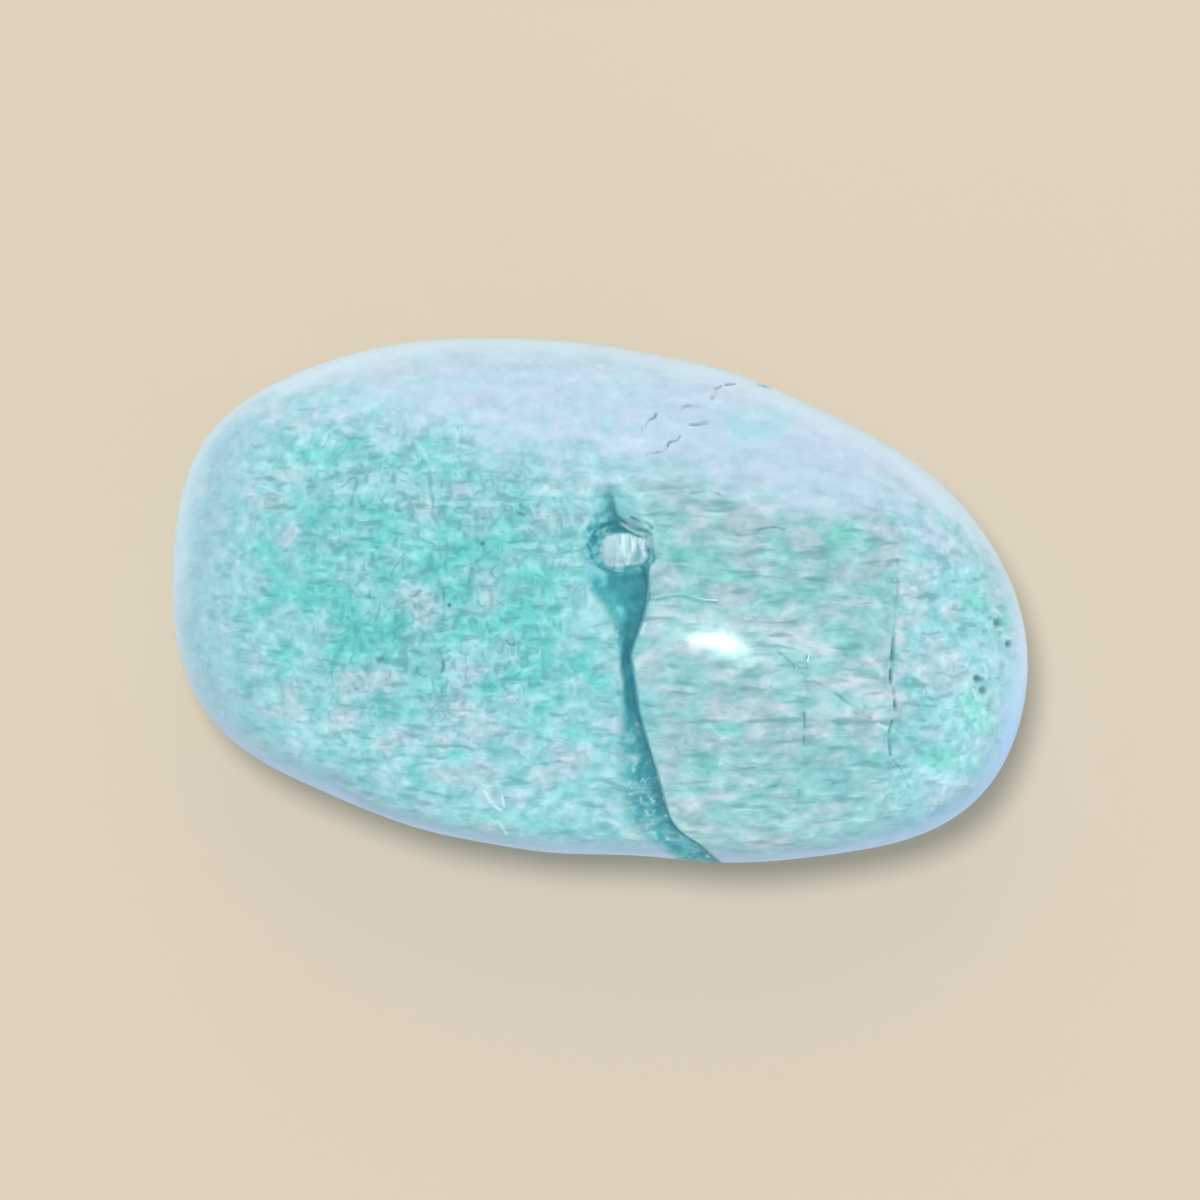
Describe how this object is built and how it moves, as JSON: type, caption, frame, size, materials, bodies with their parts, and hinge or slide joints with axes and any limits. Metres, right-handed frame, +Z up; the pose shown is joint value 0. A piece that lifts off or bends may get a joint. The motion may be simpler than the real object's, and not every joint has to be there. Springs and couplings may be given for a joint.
{
  "type": "tumbled chrysocolla stone",
  "caption": "Flattened, polished blue-green pebble with an open teal seam, a round vug and fine cracks across its crown, lying on a small worn flat.",
  "frame": {"origin": "under the middle of the stone's box, on the surface that it lies on", "axes": "+X along the stone's length, towards its cracked end; +Y across it, away from the seam's open end; +Z up, out of its crown"},
  "size_m": [0.0342, 0.021, 0.0116],
  "materials": {
    "polished_chrysocolla": "gloss"
  },
  "bodies": {
    "root": {"chrysocolla_stone": "polished_chrysocolla"}
  },
  "joints": []
}
